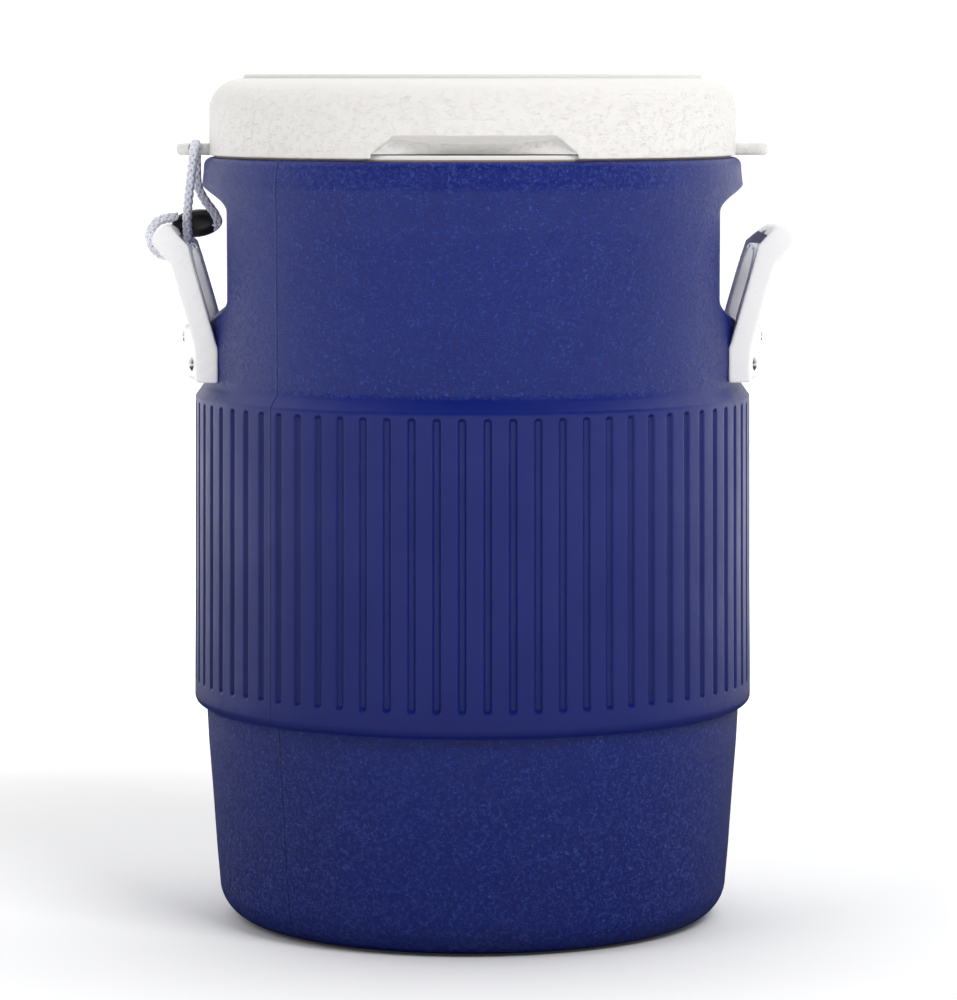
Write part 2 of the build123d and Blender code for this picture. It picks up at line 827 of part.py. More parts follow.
# ---------------------------------------------------------------- insulation round the liner
with BuildPart() as body_insulation:
    add(foam_cavity.part)
    add(liner_envelope.part, mode=Mode.SUBTRACT)
    # nothing above the shell's top wall, and no foam where the fittings pass
    with BuildSketch(Plane.XY.offset(rim_height - wall)):
        Circle(2 * upper_radius)
    extrude(amount=2 * wall, mode=Mode.SUBTRACT)
    add(disc(liner_flat - 5, spigot_flat, shank_radius), mode=Mode.SUBTRACT)
    add(rivet_shanks.part, mode=Mode.SUBTRACT)
    add(mirror(rivet_shanks.part, about=Plane.YZ), mode=Mode.SUBTRACT)
    add(rivet_washers_right.part, mode=Mode.SUBTRACT)
    add(rivet_washers_left.part, mode=Mode.SUBTRACT)
save(body_insulation.part, "body_insulation")

# ---------------------------------------------------------------- lanyard
# from the clamp up behind the lid's tab, through its hole, over its front edge, down again, round
# the left grip and back into the clamp
cord_points = [
    (-144.5, 5.5, 379.5),
    (-138.8, 3.6, 381.2),
    (-141.0, 0.6, 387.6),
    (-146.2, -1.0, 394.0),
    (-150.5, -2.6, 402.0),
    (-150.8, -4.2, 412.4),
    (-150.7, -4.5, 425.5),
    (-150.9, -18.3, 425.4),
    (-152.6, -15.6, 413.8),
    (-154.0, -12.0, 403.0),
    (-155.3, -8.4, 393.0),
    (-156.2, -5.4, 383.2),
    (-155.4, -3.4, 371.0),
    (-162.4, -2.2, 364.3),
    (-171.4, -1.0, 364.3),
    (-177.0, 0.2, 370.9),
    (-176.6, 1.4, 379.3),
    (-170.2, 3.2, 385.1),
    (-161.6, 5.4, 385.2),
]


def bend_radii(points):
    """The bend at each inner point: as wide as nearly half the shorter of its two runs allows."""
    runs = [Vector(*end) - Vector(*start) for start, end in zip(points, points[1:])]
    radii = []
    for before, after in zip(runs, runs[1:]):
        half_turn = math.radians(before.get_angle(after)) / 2
        radii.append(0.45 * min(before.length, after.length) / math.tan(half_turn))
    return radii


with BuildPart() as cord_clamp:
    with BuildSketch(
        Plane(
            origin=(clamp_centre[0], clamp_centre[1] + clamp_half_thickness, clamp_centre[2]),
            x_dir=(math.cos(clamp_tilt), 0, math.sin(clamp_tilt)),
            z_dir=(0, -1, 0),
        )
    ):
        Ellipse(clamp_half_length, clamp_half_height)
    extrude(amount=2 * clamp_half_thickness)
    fillet(cord_clamp.edges(), clamp_edge)
    add(handle_left.part, mode=Mode.SUBTRACT)
save(cord_clamp.part, "cord_clamp")

with BuildPart() as retaining_cord:
    with BuildLine() as cord_line:
        FilletPolyline(*cord_points, radius=bend_radii(cord_points))
    with BuildSketch(Plane(origin=cord_line.wire() @ 0, z_dir=cord_line.wire() % 0)):
        Circle(cord_diameter / 2)
    sweep(path=cord_line.wire())
    add(cord_clamp.part, mode=Mode.SUBTRACT)
save(retaining_cord.part, "retaining_cord")
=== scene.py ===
"""Looks for the beverage dispenser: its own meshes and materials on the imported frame."""

import json
import math

import bmesh
import bpy
import numpy as np
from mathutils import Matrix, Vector


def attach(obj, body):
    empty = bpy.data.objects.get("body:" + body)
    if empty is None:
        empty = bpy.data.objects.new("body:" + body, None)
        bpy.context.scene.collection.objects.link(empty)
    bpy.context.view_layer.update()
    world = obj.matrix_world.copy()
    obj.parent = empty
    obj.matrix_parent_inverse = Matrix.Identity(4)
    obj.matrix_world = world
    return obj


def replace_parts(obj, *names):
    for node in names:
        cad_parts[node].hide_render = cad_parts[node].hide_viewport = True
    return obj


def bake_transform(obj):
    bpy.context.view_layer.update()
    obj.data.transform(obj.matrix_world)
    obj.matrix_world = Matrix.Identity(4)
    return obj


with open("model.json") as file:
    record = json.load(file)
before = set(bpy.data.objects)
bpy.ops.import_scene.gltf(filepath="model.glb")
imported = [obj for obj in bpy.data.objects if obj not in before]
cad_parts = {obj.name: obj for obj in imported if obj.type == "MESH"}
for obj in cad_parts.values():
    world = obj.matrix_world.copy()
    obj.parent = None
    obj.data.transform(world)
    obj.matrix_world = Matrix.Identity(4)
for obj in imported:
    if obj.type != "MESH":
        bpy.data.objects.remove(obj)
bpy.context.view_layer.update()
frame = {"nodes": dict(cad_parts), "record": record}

MM = 0.001
BODY = "dispenser"
RANGE_SOCKETS = ("From Min", "From Max", "To Min", "To Max")


# ---------------------------------------------------------------- materials
class Shader:
    """A node-based material, with short names for the nodes that the finishes share."""

    def __init__(self, name, color, roughness, **sockets):
        self.material = bpy.data.materials.new(name)
        self.material.use_nodes = True
        self.tree = self.material.node_tree
        self.bsdf = self.tree.nodes["Principled BSDF"]
        self.bsdf.inputs["Base Color"].default_value = (*color, 1)
        self.bsdf.inputs["Roughness"].default_value = roughness
        for socket, value in sockets.items():
            self.bsdf.inputs[socket.replace("_", " ")].default_value = value
        self.coords = self.node("ShaderNodeTexCoord").outputs["Object"]
        self.shade = None
        self.height = None

    def node(self, kind, **values):
        node = self.tree.nodes.new(kind)
        for key, value in values.items():
            setattr(node, key, value)
        return node

    def link(self, source, target):
        if isinstance(source, (int, float)):
            target.default_value = source
        else:
            self.tree.links.new(source, target)

    def math(self, operation, first, second=0.0):
        node = self.node("ShaderNodeMath", operation=operation)
        self.link(first, node.inputs[0])
        self.link(second, node.inputs[1])
        return node.outputs[0]

    def ramp(self, value, low, high, start=0.0, end=1.0):
        """Maps value from low..high to start..end, smoothly."""
        node = self.node("ShaderNodeMapRange", interpolation_type="SMOOTHSTEP")
        self.link(value, node.inputs["Value"])
        for socket, number in zip(RANGE_SOCKETS, (low, high, start, end)):
            node.inputs[socket].default_value = number
        return node.outputs["Result"]

    def noise(self, scale, detail=2.0, rough=0.5, distortion=0.0, stretch=None):
        node = self.node("ShaderNodeTexNoise")
        node.inputs["Scale"].default_value = scale
        node.inputs["Detail"].default_value = detail
        node.inputs["Roughness"].default_value = rough
        node.inputs["Distortion"].default_value = distortion
        self.link(self.stretched(stretch), node.inputs["Vector"])
        return node.outputs["Fac"]

    def stretched(self, stretch):
        if stretch is None:
            return self.coords
        node = self.node("ShaderNodeMapping")
        node.inputs["Scale"].default_value = stretch
        self.link(self.coords, node.inputs["Vector"])
        return node.outputs["Vector"]

    def cells(self, scale):
        """Distance from the edges of cells of about 1/scale metres."""
        node = self.node("ShaderNodeTexVoronoi", feature="DISTANCE_TO_EDGE")
        node.inputs["Scale"].default_value = scale
        self.link(self.coords, node.inputs["Vector"])
        return node.outputs["Distance"]

    def axis(self, name):
        node = self.node("ShaderNodeSeparateXYZ")
        self.link(self.coords, node.inputs[0])
        return node.outputs[name]

    def relief(self, height, depth):
        """Adds a bump of the given depth in metres, on top of those already there."""
        node = self.node("ShaderNodeBump")
        node.inputs["Distance"].default_value = depth
        self.link(height, node.inputs["Height"])
        if self.height is not None:
            self.link(self.height, node.inputs["Normal"])
        self.height = node.outputs["Normal"]
        self.link(self.height, self.bsdf.inputs["Normal"])

    def tint(self, factor, other):
        """Mixes the colour so far towards another where factor is high."""
        node = self.node("ShaderNodeMix", data_type="RGBA")
        self.link(factor, node.inputs["Factor"])
        if self.shade is None:
            node.inputs["A"].default_value = self.bsdf.inputs["Base Color"].default_value
        else:
            self.link(self.shade, node.inputs["A"])
        node.inputs["B"].default_value = (*other, 1)
        self.shade = node.outputs["Result"]
        self.link(self.shade, self.bsdf.inputs["Base Color"])

    def rough(self, value, low, high):
        self.link(self.ramp(value, 0.3, 0.7, low, high), self.bsdf.inputs["Roughness"])


def leather(shader, size, depth, mask, stretch=None):
    """Embossed leather: short ridges that wander and break off, about size metres apart."""
    ridge_width = 0.075
    lines = shader.noise(0.62 / size, 2.0, 0.5, distortion=1.1, stretch=stretch)
    off_line = shader.math("ABSOLUTE", shader.math("SUBTRACT", lines, 0.5))
    ridges = shader.ramp(off_line, 0.0, ridge_width, 1.0, 0.0)
    breaks = shader.ramp(shader.noise(0.5 / size, 2.0, 0.5), 0.38, 0.60)
    total = shader.math("MULTIPLY", shader.math("MULTIPLY", ridges, breaks), mask)
    shader.relief(total, depth)
    return total


def make_blue():
    """Blue polyethylene, grained above and below the smooth band, with highlights painted on the
    grain's ridges.
    """
    blue = Shader("blue_polyethylene", (0.0003, 0.0080, 0.142), 0.40, Specular_IOR_Level=0.5)
    z = blue.axis("Z")
    below_band = blue.ramp(z, 0.1165, 0.1185, 1.0, 0.0)
    above_band = blue.ramp(z, 0.2945, 0.2975)
    grained = blue.math("ADD", below_band, above_band)
    ridges = leather(blue, 0.00115, 0.00030, grained)
    blue.relief(blue.noise(90, detail=2.0), 0.00035)
    # the mould's parting line runs down the front's left side and the back's right side
    across = blue.math("SUBTRACT", blue.axis("X"), blue.axis("Y"))
    seam = blue.ramp(blue.math("ABSOLUTE", across), 0.0003, 0.0014, 1.0, 0.0)
    blue.relief(seam, 0.0005)
    patches = blue.noise(14, detail=4.0, rough=0.6)
    blue.tint(blue.ramp(patches, 0.35, 0.8, 0.0, 0.25), (0.0009, 0.0060, 0.098))
    blue.tint(blue.math("MULTIPLY", seam, 0.35), (0.0005, 0.0045, 0.070))
    # painted highlight: the grain's ridges are painted a lighter blue, standing in for glints of
    # the lamps on them
    blue.tint(blue.math("MULTIPLY", ridges, 0.75), (0.040, 0.085, 0.40))
    blue.rough(patches, 0.38, 0.46)
    return blue.material


def make_lid():
    """White polyethylene, whose grain is fainter on the seat than on the skirt."""
    white = Shader("white_textured", (0.73, 0.712, 0.692), 0.42, Specular_IOR_Level=0.45)
    z = white.axis("Z")
    grained = white.ramp(z, 0.4520, 0.4600, 1.0, 0.3)
    leather(white, 0.0018, 0.00016, grained, stretch=(0.7, 0.7, 1.4))
    white.relief(white.noise(60, detail=2.0), 0.0002)
    stain = white.noise(25, detail=5.0, rough=0.65)
    white.tint(white.ramp(stain, 0.55, 0.85, 0.0, 0.18), (0.62, 0.60, 0.56))
    white.rough(stain, 0.38, 0.48)
    return white.material


def make_satin(name, color, roughness, texture=0.00004):
    """Smooth injection-moulded plastic, with a fine texture of the given depth."""
    satin = Shader(name, color, roughness, Specular_IOR_Level=0.5)
    satin.relief(satin.noise(900, detail=2.0), texture)
    satin.relief(satin.noise(70, detail=1.0), 0.00012)
    flow = satin.noise(30, detail=4.0, rough=0.6)
    satin.tint(satin.ramp(flow, 0.5, 0.9, 0.0, 0.16), tuple(0.84 * value for value in color))
    satin.rough(flow, roughness - 0.04, roughness + 0.06)
    return satin.material


def make_steel():
    steel = Shader("steel", (0.60, 0.59, 0.57), 0.24, Metallic=1.0)
    scratches = steel.noise(1500, detail=3.0, rough=0.7, stretch=(1, 1, 0.08))
    steel.relief(scratches, 0.00001)
    steel.rough(scratches, 0.18, 0.34)
    steel.tint(steel.ramp(steel.noise(300), 0.5, 0.8, 0.0, 0.3), (0.40, 0.39, 0.38))
    return steel.material


def make_foam():
    foam = Shader("foam", (0.80, 0.70, 0.45), 0.8)
    pores = foam.cells(900)
    foam.relief(foam.ramp(pores, 0.0, 0.2), 0.0004)
    foam.tint(foam.ramp(foam.noise(40, detail=4.0), 0.4, 0.8, 0.0, 0.3), (0.68, 0.55, 0.30))
    return foam.material


def make_rubber(name, color):
    """Matt rubber or sealant with dust in its patches."""
    rubber = Shader(name, color, 0.6, Specular_IOR_Level=0.35)
    rubber.relief(rubber.noise(1200, detail=2.0), 0.00004)
    dust = rubber.noise(60, detail=4.0)
    rubber.tint(rubber.ramp(dust, 0.5, 0.85, 0.0, 0.25), tuple(0.6 * value for value in color))
    return rubber.material


def make_cord():
    cord = Shader("cord", (0.82, 0.83, 0.90), 0.62, Sheen_Weight=0.4)
    fibres = cord.noise(2600, detail=2.0, rough=0.7, stretch=(1, 1, 0.22))
    cord.relief(fibres, 0.00008)
    # painted shade: the valleys between the fibres are painted a darker lilac
    cord.tint(cord.ramp(fibres, 0.3, 0.6, 0.35, 0.0), (0.60, 0.62, 0.74))
    return cord.material


blue = make_blue()
lid_white = make_lid()
satin_white = make_satin("white_satin", (0.84, 0.83, 0.84), 0.30)
liner_white = make_satin("white_liner", (0.84, 0.84, 0.82), 0.20, 0.00002)
black = make_satin("black_plastic", (0.012, 0.012, 0.014), 0.32)
steel = make_steel()
foam = make_foam()
sealant = make_rubber("sealant", (0.42, 0.31, 0.20))
grey_rubber = make_rubber("grey_rubber", (0.10, 0.10, 0.105))
cord_white = make_cord()

finishes = {
    "blue_polyethylene": blue,
    "foam": foam,
    "white_liner": liner_white,
    "white_textured": lid_white,
    "white_satin": satin_white,
    "black_plastic": black,
    "steel": steel,
    "sealant": sealant,
    "grey_rubber": grey_rubber,
    "cord": cord_white,
}


# ---------------------------------------------------------------- mesh helpers
def piece(name, vertices, faces, material, body=BODY):
    """A smooth mesh from points in millimetres, which rides on the body if one is given."""
    mesh = bpy.data.meshes.new(name)
    mesh.from_pydata([(x * MM, y * MM, z * MM) for x, y, z in vertices], [], faces)
    mesh.validate()
    mesh.materials.append(material)
    mesh.shade_smooth()
    item = bpy.data.objects.new(name, mesh)
    bpy.context.scene.collection.objects.link(item)
    if body:
        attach(item, body)
    return item


def lattice(rows, columns, flip=False):
    """Quads over a grid of points, row by row, where each row closes on itself."""
    row, column = np.meshgrid(np.arange(rows - 1), np.arange(columns), indexing="ij")
    beside = (column + 1) % columns
    corners = [
        row * columns + column,
        row * columns + beside,
        (row + 1) * columns + beside,
        (row + 1) * columns + column,
    ]
    if flip:
        corners.reverse()
    return np.stack(corners, axis=-1).reshape(-1, 4).tolist()


def soft_min(first, second, width):
    """The smaller of two, with a rounded edge where they come within width of each other."""
    overlap = np.maximum(width - np.abs(first - second), 0) / width
    return np.minimum(first, second) - overlap**2 * width / 4


def soft_max(first, second, width):
    return -soft_min(-first, -second, width)


def arc(centre, radius, start, end, steps):
    """Points on an arc in the profile's plane, from one angle to another, in degrees."""
    turns = np.radians(np.linspace(start, end, steps + 1))
    return [(centre[0] + radius * math.cos(t), centre[1] + radius * math.sin(t)) for t in turns]


def ladder(start, end, steps):
    """Points on a straight run, both ends included."""
    return [
        (start[0] + (end[0] - start[0]) * k / steps, start[1] + (end[1] - start[1]) * k / steps)
        for k in range(steps + 1)
    ]


def turned(name, profile, columns, material, body=BODY, shape=None):
    """A turned surface from its (radius, height) profile, changed by shape if one is given."""
    profile = np.array(profile)
    angle = np.asarray(columns)[None, :]
    radius = profile[:, 0][:, None] + 0 * angle
    height = profile[:, 1][:, None] + 0 * angle
    if shape:
        radius, height = shape(angle, radius, height)
    points = np.stack([radius * np.cos(angle), radius * np.sin(angle), height], axis=-1)
    faces = lattice(len(profile), angle.shape[1])
    return piece(name, points.reshape(-1, 3).tolist(), faces, material, body)


# ---------------------------------------------------------------- outer shell
GROOVES = 72
GROOVE_PITCH = 2 * math.pi / GROOVES
GROOVE_MIDDLE = 209.2  # height of a groove's middle
GROOVE_HALF_RUN = 74.65  # half of its straight part
GROOVE_HALF_WIDTH = 2.45
GROOVE_WALL = 1.15  # how much of the half width its rounded wall takes
GROOVE_DEPTH = 1.9
BAND_RADIUS = 152.6
BAND_LOW, BAND_HIGH = 125, 290
FLAT_PLANE = 136.0  # distance of the spigot's flat from the jug's axis
FLAT_TOP = 88.0  # above this the flat leans out to the round wall
FLAT_LEAN = 1.2
FACING = 0.3  # a plane cuts only where the wall faces it at least this much
UNCUT = 1e3

# where the mesh has its columns across one groove, in millimetres along the band
groove_steps = (-4.6, -2.9, -2.35, -1.9, -1.3, 0.0, 1.3, 1.9, 2.35, 2.9, 4.6, 6.66)
lower_columns = [
    (k + 0.5) * 2 * math.pi / GROOVES + step / BAND_RADIUS
    for k in range(GROOVES)
    for step in groove_steps
]


def plane_reach(plane, facing):
    """The radius at which an upright plane meets each column, or far out where it faces away."""
    return np.where(facing > FACING, plane / np.maximum(facing, FACING), UNCUT)


def spigot_flat(angle, radius, height):
    """Cuts the flat that the spigot stands on, at +Y."""
    plane = FLAT_PLANE + np.maximum(height - FLAT_TOP, 0) * FLAT_LEAN
    return soft_min(radius, plane_reach(plane, np.sin(angle)), 3.0)


def lower_shape(angle, radius, height):
    """Presses the grooves into the band and cuts the spigot's flat."""
    across = (np.mod(angle, GROOVE_PITCH) - GROOVE_PITCH / 2) * BAND_RADIUS
    beyond = np.maximum(np.abs(height - GROOVE_MIDDLE) - GROOVE_HALF_RUN, 0)
    distance = np.sqrt(across**2 + beyond**2)
    share = np.clip((GROOVE_HALF_WIDTH - distance) / GROOVE_WALL, 0, 1)
    depth = GROOVE_DEPTH * share * share * (3 - 2 * share)
    on_band = (height > BAND_LOW) & (height < BAND_HIGH)
    radius = np.where(on_band, radius - depth, radius)
    return spigot_flat(angle, radius, height), height


base_profile = [
    (0.01, 3.0),
    (50, 3.0),
    (100, 3.0),
    *arc((102.5, 1.5), 1.5, 90, 0, 3),
    (104.2, 0.4),
    (105, 0),
    (112, 0),
    *arc((119, 21), 21, -90, 0, 12),
    (140.8, 30),
    (141.6, 40),
    (142.6, 55),
    (143.6, 70),
    *ladder((144.1, 77), (145.7, 98), 12),
    (146.2, 108),
    (146.6, 115.5),
    (146.75, 117.3),
    (147.2, 118.4),
    (148.3, 119.0),
    *arc((148.2, 124), 5.0, -80, 0, 7),
    (153.17, 128),
    (153.15, 130.5),
    *ladder((153.14, 131.4), (153.12, 136.0), 9),
    (153.0, 150),
    (152.6, 190),
    (152.4, 230),
    (152.1, 270),
    *ladder((152.04, 282.4), (152.02, 286.8), 9),
    *arc((149.6, 287.9), 2.4, 2, 52, 5),
    (149.6, 291.9),
    (148.3, 293.6),
    (147.5, 294.9),
    (147.1, 296.2),
    (147.0, 297.6),
]
shell_lower = turned(
    "shell_lower", base_profile, lower_columns, blue, shape=lower_shape
)


POCKET_PLANE = 131.8  # distance of the pockets' flat walls from the jug's axis
CEILING_PLANE, CEILING_HEIGHT, CEILING_SLOPE = 137.9, 397.7, 1.85
SILL_HEIGHT, SILL_SLOPE = 339.0, 0.7895
ABOVE_POCKETS = 410


def pocket_shape(angle, radius, height):
    """Cuts the flat pockets behind the two handles."""
    ceiling = CEILING_PLANE + (height - CEILING_HEIGHT) * CEILING_SLOPE
    sill = POCKET_PLANE + (SILL_HEIGHT - height) / SILL_SLOPE
    plane = soft_max(soft_max(POCKET_PLANE + 0 * height, ceiling, 8.0), sill, 5.0)
    cut = soft_min(radius, plane_reach(plane, np.abs(np.cos(angle))), 1.6)
    return np.where(height < ABOVE_POCKETS, cut, radius), height


upper_profile = [
    (147.0, 297.6),
    (147.0, 305),
    (147.0, 313),
    *ladder((147.0, 318), (147.0, 343), 22),
    *ladder((147.0, 347), (147.0, 382), 9),
    *ladder((147.1, 384), (147.8, 403.6), 26),
    (147.4, 406.5),
    (147.0, 410),
    *arc((142.0, 413.6), 4.8, 0, 90, 8),
    (136, 418.4),
    (127, 418.4),
    (126.3, 418.0),
    (126.1, 416),
    (126.1, 405),
]
upper_columns = np.radians(np.arange(0, 360, 0.5))
shell_upper = turned(
    "shell_upper", upper_profile, upper_columns, blue, shape=pocket_shape
)
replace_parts(shell_lower, "outer_shell")
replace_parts(shell_upper, "outer_shell")

# ---------------------------------------------------------------- lid
LID_BOTTOM = 419.5
SKIRT_RADIUS = 143.8
SKIRT_INSIDE = 142.0  # points nearer the axis than this are on the skirt's inner face
RECESS_TOP = 431.8  # where the recess meets the skirt's outer face
RECESS_HALF_WIDTH = 42.0  # at that height
RECESS_RUN, RECESS_FLARE = 12.3, 15.0  # each side gets this much wider over this drop
RECESS_BACK = 133.0  # distance of the recess's back wall from the axis
RECESS_SLOPE = 0.398  # of its ceiling
RECESS_FLANK = 4.0  # how steeply its flanks go in
RECESS_WALL = 2.8
RECESS_SILL = 422.0  # the skirt's lower edge, where the recess lifts it
RECESS_FACING = 0.5  # the recesses are only in the front and back thirds
ABOVE_RECESS = 436


def lid_angles():
    """Angles for the lid's columns, close together at the recesses' flanks."""
    angles = []
    angle = 0.0
    while angle < 360.0 - 1e-6:
        angles.append(math.radians(angle))
        half_turn = angle % 180.0
        at_flank = 63.0 <= half_turn < 77.0 or 103.0 <= half_turn < 117.0
        angle += 0.2 if at_flank else 0.75
    return angles


def lid_shape(angle, radius, height):
    """Cuts the finger recesses into the skirt at the front and the back."""
    side = np.abs(np.sin(angle))
    drop = RECESS_TOP - height
    half_width = RECESS_HALF_WIDTH + drop / RECESS_RUN * RECESS_FLARE
    beside = half_width - np.abs(SKIRT_RADIUS * np.cos(angle))
    back = RECESS_BACK / np.maximum(side, RECESS_FACING)
    reach = np.maximum(back, SKIRT_RADIUS - drop / RECESS_SLOPE)
    flank = SKIRT_RADIUS - beside * RECESS_FLANK
    cut = soft_max(reach, flank, 0.8)
    low = height < ABOVE_RECESS
    inner_face = np.minimum(radius, cut - RECESS_WALL)
    outer_face = soft_min(radius, cut, 0.4)
    carved = np.where((radius < SKIRT_INSIDE) & low, inner_face, outer_face)
    faces_recess = low & (side > RECESS_FACING)
    radius = np.where(faces_recess, carved, radius)
    in_recess = (radius < SKIRT_RADIUS - 0.4) & faces_recess & (beside > -0.5)
    return radius, np.where(in_recess, np.maximum(height, RECESS_SILL), height)


lid_profile = [
    (141.0, 435.0),
    (141.0, 428.0),
    (141.0, 424.0),
    (141.0, 421.5),
    (141.05, 420.1),
    *arc((141.7, 420.1), 0.6, 180, 270, 3),
    (142.4, LID_BOTTOM),
    *arc((143.1, 420.2), 0.7, -90, 0, 3),
    *ladder((143.8, 420.8), (143.8, 434.8), 28),
    (143.8, 437.5),
    (143.8, 440.5),
    *arc((126.3, 443.5), 17.5, 0, 90, 16),
    (125.7, 461.0),
    *arc((125.7, 461.7), 0.7, -90, -180, 3),
    (125.0, 462.0),
    *arc((123.4, 462.0), 1.6, 0, 90, 6),
    (121.5, 463.6),
    (116, 463.6),
    (100, 463.6),
    (70, 463.6),
    (40, 463.6),
    (0.01, 463.6),
]
lid_skin = turned(
    "lid_skin", lid_profile, lid_angles(), lid_white, "lid", lid_shape
)
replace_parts(lid_skin, "lid_shell")


def finished(item):
    """The item's mesh with its modifiers applied."""
    graph = bpy.context.evaluated_depsgraph_get()
    mesh = bpy.data.meshes.new_from_object(item.evaluated_get(graph))
    item.modifiers.clear()
    item.data = mesh
    return item


def rounded_copy(name, source, voxel, passes, material, body):
    """A copy of a mesh, remeshed finely and relaxed so that sharp edges become moulded radii."""
    item = bpy.data.objects.new(name, source.copy())
    bpy.context.scene.collection.objects.link(item)
    remesh = item.modifiers.new("remesh", "REMESH")
    remesh.mode = "VOXEL"
    remesh.voxel_size = voxel
    relax = item.modifiers.new("relax", "SMOOTH")
    relax.factor = 0.5
    relax.iterations = passes
    finished(item)
    item.data.materials.clear()
    item.data.materials.append(material)
    item.data.shade_smooth()
    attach(item, body)
    return item


def block(low, high):
    """A plain closed box between two corners in millimetres, as a bmesh."""
    shape = bmesh.new()
    made = bmesh.ops.create_cube(shape, size=1.0)
    for vertex in made["verts"]:
        for k in range(3):
            vertex.co[k] = (low[k] if vertex.co[k] < 0 else high[k]) * MM
    return shape


def cut_away(item, shape):
    """Takes a bmesh's volume out of an item."""
    mesh = bpy.data.meshes.new("cutter")
    shape.to_mesh(mesh)
    cutter = bpy.data.objects.new("cutter", mesh)
    bpy.context.scene.collection.objects.link(cutter)
    cut = item.modifiers.new("cut", "BOOLEAN")
    cut.operation = "DIFFERENCE"
    cut.object = cutter
    finished(item)
    bpy.data.objects.remove(cutter)


TAB_TOP = 425.7
TAB_END, TAB_CORNER, TAB_ROUND = 155.4, 8.0, 6  # its rounded corners' centres and radius
TAB_ROOT, TAB_HALF_WIDTH = 141.5, 14.0
TAB_EDGE = 2.4 * MM
TAB_VOXEL = 0.35 * MM
TAB_PASSES = 10
HOLE_RADIUS = 4.0 * MM
HOLE_CENTRE = (-0.1506, -0.0048, 0.423)
NOTCH = (-154.4, -20.0, 422.2), (-146.8, -5.0, 430.0)  # where the cord goes over the edge


def make_tab(side):
    """A lid tab: rounded in plan and in section; the left one has the lanyard's hole and notch."""
    outline = []
    for y, start in ((TAB_CORNER, 0), (-TAB_CORNER, -90)):
        turns = np.radians(np.linspace(start + 90, start, 9))
        outline += [
            (TAB_END + TAB_ROUND * math.cos(t), y + TAB_ROUND * math.sin(t)) for t in turns
        ]
    outline += [(TAB_ROOT, -TAB_HALF_WIDTH), (TAB_ROOT, TAB_HALF_WIDTH)]
    shape = bmesh.new()
    floor = [shape.verts.new((side * x * MM, y * MM, LID_BOTTOM * MM)) for x, y in outline]
    face = shape.faces.new(floor)
    raised = bmesh.ops.extrude_face_region(shape, geom=[face])
    for vertex in raised["geom"]:
        if isinstance(vertex, bmesh.types.BMVert):
            vertex.co.z = TAB_TOP * MM
    bmesh.ops.recalc_face_normals(shape, faces=shape.faces)
    mesh = bpy.data.meshes.new("tab")
    shape.to_mesh(mesh)
    item = bpy.data.objects.new("tab", mesh)
    bpy.context.scene.collection.objects.link(item)
    edges = item.modifiers.new("edges", "BEVEL")
    edges.width = TAB_EDGE
    edges.segments = 5
    finished(item)
    if side < 0:
        hole = bmesh.new()
        bmesh.ops.create_cone(
            hole,
            cap_ends=True,
            segments=40,
            radius1=HOLE_RADIUS,
            radius2=HOLE_RADIUS,
            depth=20 * MM,
        )
        bmesh.ops.translate(hole, verts=hole.verts, vec=HOLE_CENTRE)
        cut_away(item, hole)
        cut_away(item, block(*NOTCH))
    name = "lid_tab_right" if side > 0 else "lid_tab_left"
    tab = rounded_copy(
        name, item.data, TAB_VOXEL, TAB_PASSES, lid_white, "lid"
    )
    bpy.data.objects.remove(item)
    return tab


for side in (-1, 1):
    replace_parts(make_tab(side), "lid_shell")

# ---------------------------------------------------------------- handles
HANDLE_VOXEL = 0.85 * MM
HANDLE_PASSES = 7
for node in ("handle_left", "handle_right"):
    source = frame["nodes"][node].data
    handle = rounded_copy(
        f"{node}_moulding", source, HANDLE_VOXEL, HANDLE_PASSES, satin_white, BODY
    )
    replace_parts(handle, node)

# ---------------------------------------------------------------- CAD nodes that stay
slots = {part["node"]: part["material_slot"] for part in frame["record"]["subparts"]}
for node, item in frame["nodes"].items():
    item.data.materials.clear()
    item.data.materials.append(finishes[slots[node]])

# ---------------------------------------------------------------- lanyard
STRANDS = 8
STRAND_OFFSET = 1.62 * MM  # from the cord's middle to a strand's
STRAND_RADIUS = 0.95 * MM
STRAND_WIDENING = 1.15  # a strand is this much wider than it is thick
STRAND_WEAVE = 0.17  # how far it goes over and under the others, as a share of the offset
TURN_LENGTH = 17 * MM

cord_points = [
    (-144.5, 5.5, 379.5),
    (-138.8, 3.6, 381.2),
    (-141.0, 0.6, 387.6),
    (-146.2, -1.0, 394.0),
    (-150.5, -2.6, 402.0),
    (-150.8, -4.2, 412.4),
    (-150.7, -4.5, 425.5),
    (-150.9, -18.3, 425.4),
    (-152.6, -15.6, 413.8),
    (-154.0, -12.0, 403.0),
    (-155.3, -8.4, 393.0),
    (-156.2, -5.4, 383.2),
    (-155.4, -3.4, 371.0),
    (-162.4, -2.2, 364.3),
    (-171.4, -1.0, 364.3),
    (-177.0, 0.2, 370.9),
    (-176.6, 1.4, 379.3),
    (-170.2, 3.2, 385.1),
    (-161.6, 5.4, 385.2),
]


def route(points, name):
    """The smooth line through the lanyard's control points, as a list of vectors."""
    data = bpy.data.curves.new(name, "CURVE")
    data.dimensions = "3D"
    data.resolution_u = 24
    spline = data.splines.new("NURBS")
    spline.points.add(len(points) - 1)
    for point, (x, y, z) in zip(spline.points, points):
        point.co = (x * MM, y * MM, z * MM, 1)
    spline.order_u = 3
    spline.use_endpoint_u = True
    item = bpy.data.objects.new(name, data)
    bpy.context.scene.collection.objects.link(item)
    graph = bpy.context.evaluated_depsgraph_get()
    mesh = bpy.data.meshes.new_from_object(item.evaluated_get(graph))
    line = [vertex.co.copy() for vertex in mesh.vertices]
    bpy.data.objects.remove(item)
    return line


